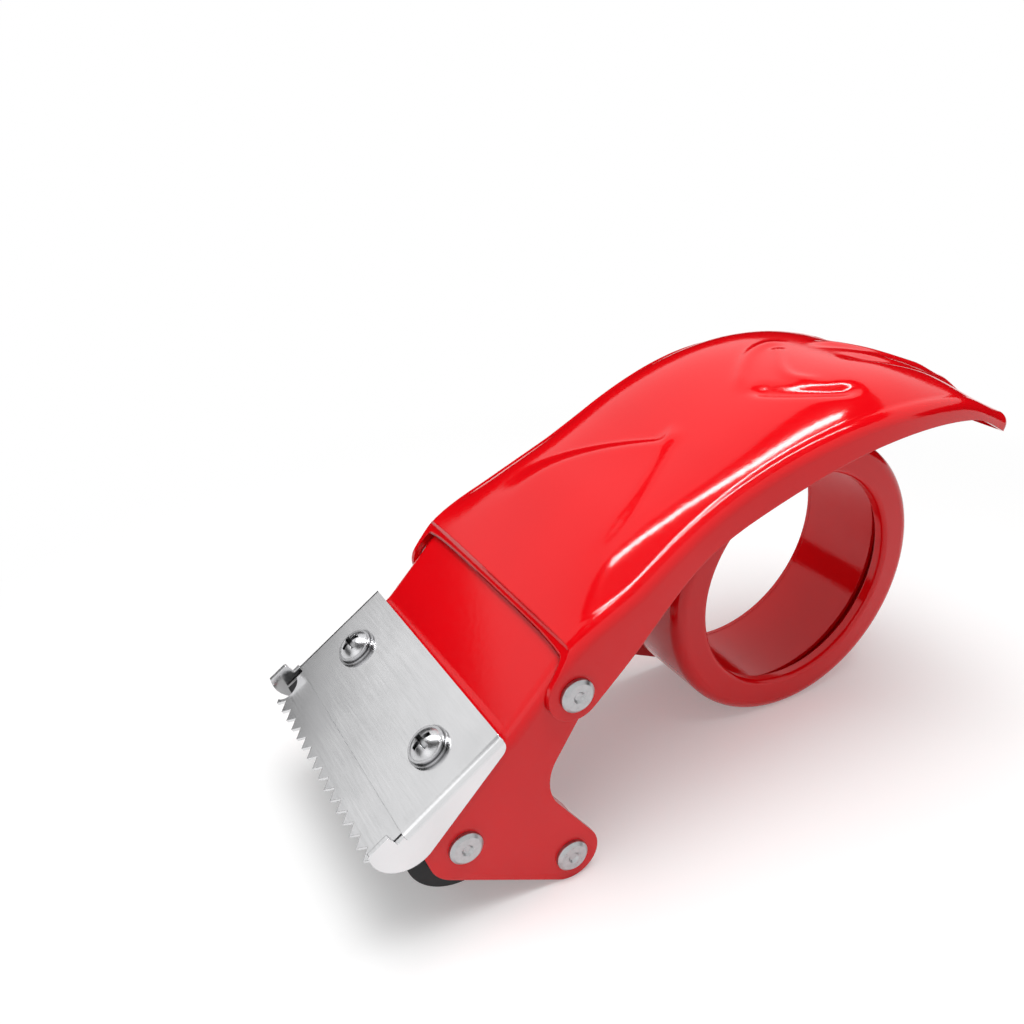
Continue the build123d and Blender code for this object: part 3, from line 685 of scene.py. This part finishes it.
class TAPECUTTER_OT_handle(bpy.types.Operator):
    """Makes the pressed handle, with its reliefs, its ears and its closed tail"""

    bl_idname = "tapecutter.handle"
    bl_label = "Handle"

    def execute(self, context):
        size = settings("handle")
        shell = linked("handle_blank", handle_surface(size))
        solid = shell.modifiers.new("sheet", "SOLIDIFY")
        solid.thickness = size.sheet
        solid.offset = -1
        solid.use_even_offset = True
        wide = HANDLE_HIGH.y + size.bend
        keep = linked("handle_side_view", prism("handle_side_view", handle_profile(size), -wide, wide))
        cut(shell, keep, "INTERSECT")
        hole = [
            (HINGE[0] + size.hole * math.cos(a), HINGE[1] + size.hole * math.sin(a))
            for a in np.linspace(0, 2 * math.pi, HOLE_STEPS, endpoint=False)
        ]
        bore = linked("hinge_hole", prism("hinge_hole", hole, -wide, wide))
        cut(shell, bore, "DIFFERENCE")
        mesh = applied(shell, "pressed_handle")
        for scrap in (shell, keep, bore):
            bpy.data.objects.remove(scrap)
        if len(mesh.polygons) < FEWEST_FACES:
            raise RuntimeError("the handle's boolean left nothing")
        smooth(mesh)
        mesh.materials.clear()
        mesh.materials.append(enamel_material())
        piece = linked("pressed_handle", mesh)
        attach(piece, "handle")
        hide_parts("handle_shell")
        return {"FINISHED"}


class TAPECUTTER_OT_enamelled(bpy.types.Operator):
    """Coats the frame and the hub in glossy enamel"""

    bl_idname = "tapecutter.enamelled"
    bl_label = "Frame and hub"

    def execute(self, context):
        dress(("main_frame", "hub_drum"), enamel_material("red_enamel_frame"))
        dress(("hub_liner",), enamel_material("red_enamel_liner", 0.03))
        return {"FINISHED"}


class TAPECUTTER_OT_pins(bpy.types.Operator):
    """Finishes the pins, washers, tubes, clinch nuts and the spring in satin steel"""

    bl_idname = "tapecutter.pins"
    bl_label = "Pins and spring"

    def execute(self, context):
        dress(
            (
                "hinge_pin", "hinge_spacer", "hinge_washers", "roller_axle", "roller_washers",
                "roller_core", "guide_pin", "guide_sleeve", "cover_nuts",
            ),
            satin_material(),
        )
        # The spring's rear leg bears on the handle's top; the copy made here is a fixed piece, not attached
        # to the handle.
        spring = linked("wound_spring", NODES["return_spring"].data.copy())
        spring.data.materials.clear()
        spring.data.materials.append(satin_material("spring_wire_steel", 0.7))
        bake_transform(spring)
        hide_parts("return_spring")
        return {"FINISHED"}


class TAPECUTTER_OT_roller(bpy.types.Operator):
    """Finishes the roller's rubber tyre, its bushes and the flap"""

    bl_idname = "tapecutter.roller"
    bl_label = "Roller and flap"

    def execute(self, context):
        dress(("roller_tyre",), rubber_material())
        dress(("roller_bushes", "wiper_flap"), rubber_material("black_plastic_part", (0.35, 0.5)))
        return {"FINISHED"}


class TAPECUTTER_OT_cover(bpy.types.Operator):
    """Finishes the cover, the blade and their screws"""

    bl_idname = "tapecutter.cover"
    bl_label = "Cover and blade"

    def execute(self, context):
        dress(("cover_plate", "blade"), stainless_material())
        dress(("cover_screws", "cover_washers"), polished_material())
        return {"FINISHED"}


# Stage

# Place of each lamp, with its width and depth
KEY_LAMP = ((-0.10, -0.05, 0.62), 0.50, 0.40)
STRIP_LAMP = ((0.0, 0.11, 0.60), 0.50, 0.045)
FILL_LAMP = ((-0.60, -0.35, 0.35), 0.40, 0.40)
LAMP_TARGET = (-0.04, 0.0, 0.0)
# Black cards round the object: height of the upright ones, and of the one overhead
CARD_TOP = 0.36
CARD_OVER_Z = 0.75
FLOOR_HALF = 4.0
FLOOR_COLOUR = (0.80, 0.80, 0.80, 1)
FLOOR_GLOW = 0.25
# Distance from the origin over which the floor goes from its own shade to the room's white
FLOOR_FADE = (0.11, 0.25)
SENSOR_MM = 36.0
CLIP_START = 0.01


def area_lamp(name, layout, power):
    """Soft lamp over or beside the object, which faces it."""
    place, width, height = layout
    data = bpy.data.lights.new(name, "AREA")
    data.shape = "RECTANGLE"
    data.size = width
    data.size_y = height
    data.energy = power
    lamp = linked(name, data)
    lamp.location = place
    lamp.rotation_euler = (Vector(LAMP_TARGET) - Vector(place)).to_track_quat("-Z", "Y").to_euler()
    return lamp


def dark_card(name, corners):
    """Black card between four corners, which shows in gloss alone."""
    mesh = bpy.data.meshes.new(name)
    mesh.from_pydata(corners, [], [(0, 1, 2, 3)])
    material = bpy.data.materials.new(name)
    material.use_nodes = True
    shader = material.node_tree.nodes["Principled BSDF"]
    shader.inputs["Base Color"].default_value = (0.01, 0.01, 0.01, 1)
    shader.inputs["Roughness"].default_value = 1.0
    shader.inputs["Specular IOR Level"].default_value = 0.0
    mesh.materials.append(material)
    card = linked(name, mesh)
    card.visible_camera = False
    card.visible_diffuse = False
    card.visible_shadow = False


def upright_card(name, start, end):
    """Black card that stands on the table between two places."""
    low = [(*place, TABLE_Z) for place in (start, end)]
    high = [(*place, CARD_TOP) for place in (end, start)]
    dark_card(name, low + high)


def ray_is_seen(tree):
    """1 for camera, glossy and transmission rays, and 0 for the rest."""
    path = tree.nodes.new("ShaderNodeLightPath")
    total = path.outputs["Is Camera Ray"]
    for kind in ("Is Glossy Ray", "Is Transmission Ray"):
        both = tree.nodes.new("ShaderNodeMath")
        both.operation = "MAXIMUM"
        tree.links.new(total, both.inputs[0])
        tree.links.new(path.outputs[kind], both.inputs[1])
        total = both.outputs["Value"]
    return total


class TAPECUTTER_OT_stage(bpy.types.Operator):
    """Sets the floor, the soft studio light and the camera"""

    bl_idname = "tapecutter.stage"
    bl_label = "Stage"

    def execute(self, context):
        scene = context.scene
        stage = settings("stage")
        scene.view_settings.view_transform = "Standard"

        world = bpy.data.worlds.new("studio")
        scene.world = world
        world.use_nodes = True
        tree = world.node_tree
        background = tree.nodes["Background"]
        background.inputs["Color"].default_value = (1, 1, 1, 1)
        seen = ray_is_seen(tree)
        tree.links.new(spread(tree, seen, stage.ambient, 1.0, (0, 1)), background.inputs["Strength"])

        ends = ((-1, -1), (1, -1), (1, 1), (-1, 1))
        plate = bpy.data.meshes.new("floor")
        plate.from_pydata(
            [(x * FLOOR_HALF, y * FLOOR_HALF, TABLE_Z) for x, y in ends], [], [(0, 1, 2, 3)]
        )
        floor = linked("floor", plate)
        material = bpy.data.materials.new("white_sweep")
        material.use_nodes = True
        tree = material.node_tree
        shader = tree.nodes["Principled BSDF"]
        shader.inputs["Base Color"].default_value = FLOOR_COLOUR
        shader.inputs["Roughness"].default_value = 0.9
        shader.inputs["Specular IOR Level"].default_value = 0.0
        glow = tree.nodes.new("ShaderNodeEmission")
        tree.links.new(spread(tree, ray_is_seen(tree), 0.0, FLOOR_GLOW, (0, 1)), glow.inputs["Strength"])
        near = tree.nodes.new("ShaderNodeAddShader")
        tree.links.new(shader.outputs["BSDF"], near.inputs[0])
        tree.links.new(glow.outputs["Emission"], near.inputs[1])
        # Away from the object the sweep is as white as the room, so that no horizon shows.
        white = tree.nodes.new("ShaderNodeEmission")
        place = tree.nodes.new("ShaderNodeTexCoord")
        length = tree.nodes.new("ShaderNodeVectorMath")
        length.operation = "LENGTH"
        tree.links.new(place.outputs["Object"], length.inputs[0])
        share = tree.nodes.new("ShaderNodeMath")
        share.operation = "MULTIPLY"
        tree.links.new(spread(tree, length.outputs["Value"], 0.0, 1.0, FLOOR_FADE), share.inputs[0])
        tree.links.new(ray_is_seen(tree), share.inputs[1])
        sweep = tree.nodes.new("ShaderNodeMixShader")
        tree.links.new(share.outputs["Value"], sweep.inputs["Fac"])
        tree.links.new(near.outputs["Shader"], sweep.inputs[1])
        tree.links.new(white.outputs["Emission"], sweep.inputs[2])
        tree.links.new(sweep.outputs["Shader"], tree.nodes["Material Output"].inputs["Surface"])
        plate.materials.append(material)

        # The broad lamp lights the object, and the narrow one draws the streaks in its gloss.
        key = area_lamp("key_lamp", KEY_LAMP, stage.key)
        key.visible_glossy = False
        strip = area_lamp("strip_lamp", STRIP_LAMP, stage.strip)
        strip.visible_diffuse = False
        area_lamp("fill_lamp", FILL_LAMP, stage.fill)

        upright_card("card_behind", (-0.9, 0.8), (1.0, 0.8))
        upright_card("card_right", (0.9, -0.7), (0.9, 0.8))
        upright_card("card_left", (-0.9, -0.1), (-0.9, 0.8))
        over = [(-0.7, -0.5), (0.6, -0.5), (0.6, 0.35), (-0.7, 0.35)]
        dark_card("card_over", [(x, y, CARD_OVER_Z) for x, y in over])

        camera = linked("camera", bpy.data.cameras.new("camera"))
        camera.data.lens = stage.lens
        camera.data.sensor_width = SENSOR_MM
        camera.data.clip_start = CLIP_START
        camera.location = stage.place
        back = Vector(
            (
                math.sin(stage.azimuth) * math.cos(stage.elevation),
                -math.cos(stage.azimuth) * math.cos(stage.elevation),
                math.sin(stage.elevation),
            )
        )
        turn = Matrix.Rotation(stage.roll, 3, back) @ (-back).to_track_quat("-Z", "Y").to_matrix()
        camera.rotation_euler = turn.to_euler()
        scene.camera = camera
        return {"FINISHED"}


class TAPECUTTER_PT_panel(bpy.types.Panel):
    """Lists the pieces and their sizes"""

    bl_idname = "TAPECUTTER_PT_panel"
    bl_label = "Tape Cutter"
    bl_space_type = "VIEW_3D"
    bl_region_type = "UI"
    bl_category = "Tape Cutter"

    def draw(self, context):
        for operator in OPERATORS:
            self.layout.operator(operator.bl_idname)
        for kind in GROUPS:
            box = self.layout.box()
            group = settings(kind)
            for key in group.__annotations__:
                box.prop(group, key)


GROUPS = {"handle": TapeCutterHandle, "finish": TapeCutterFinish, "stage": TapeCutterStage}
OPERATORS = (
    TAPECUTTER_OT_handle,
    TAPECUTTER_OT_enamelled,
    TAPECUTTER_OT_pins,
    TAPECUTTER_OT_roller,
    TAPECUTTER_OT_cover,
    TAPECUTTER_OT_stage,
)


def register():
    for kind, group in GROUPS.items():
        bpy.utils.register_class(group)
        setattr(bpy.types.Scene, "tape_cutter_" + kind, PointerProperty(type=group))
    for item in (*OPERATORS, TAPECUTTER_PT_panel):
        bpy.utils.register_class(item)


def unregister():
    for item in (TAPECUTTER_PT_panel, *reversed(OPERATORS)):
        bpy.utils.unregister_class(item)
    for kind, group in GROUPS.items():
        delattr(bpy.types.Scene, "tape_cutter_" + kind)
        bpy.utils.unregister_class(group)


def main():
    register()
    bpy.ops.tapecutter.handle()
    bpy.ops.tapecutter.enamelled()
    bpy.ops.tapecutter.pins()
    bpy.ops.tapecutter.roller()
    bpy.ops.tapecutter.cover()
    bpy.ops.tapecutter.stage()


if __name__ == "__main__":
    main()
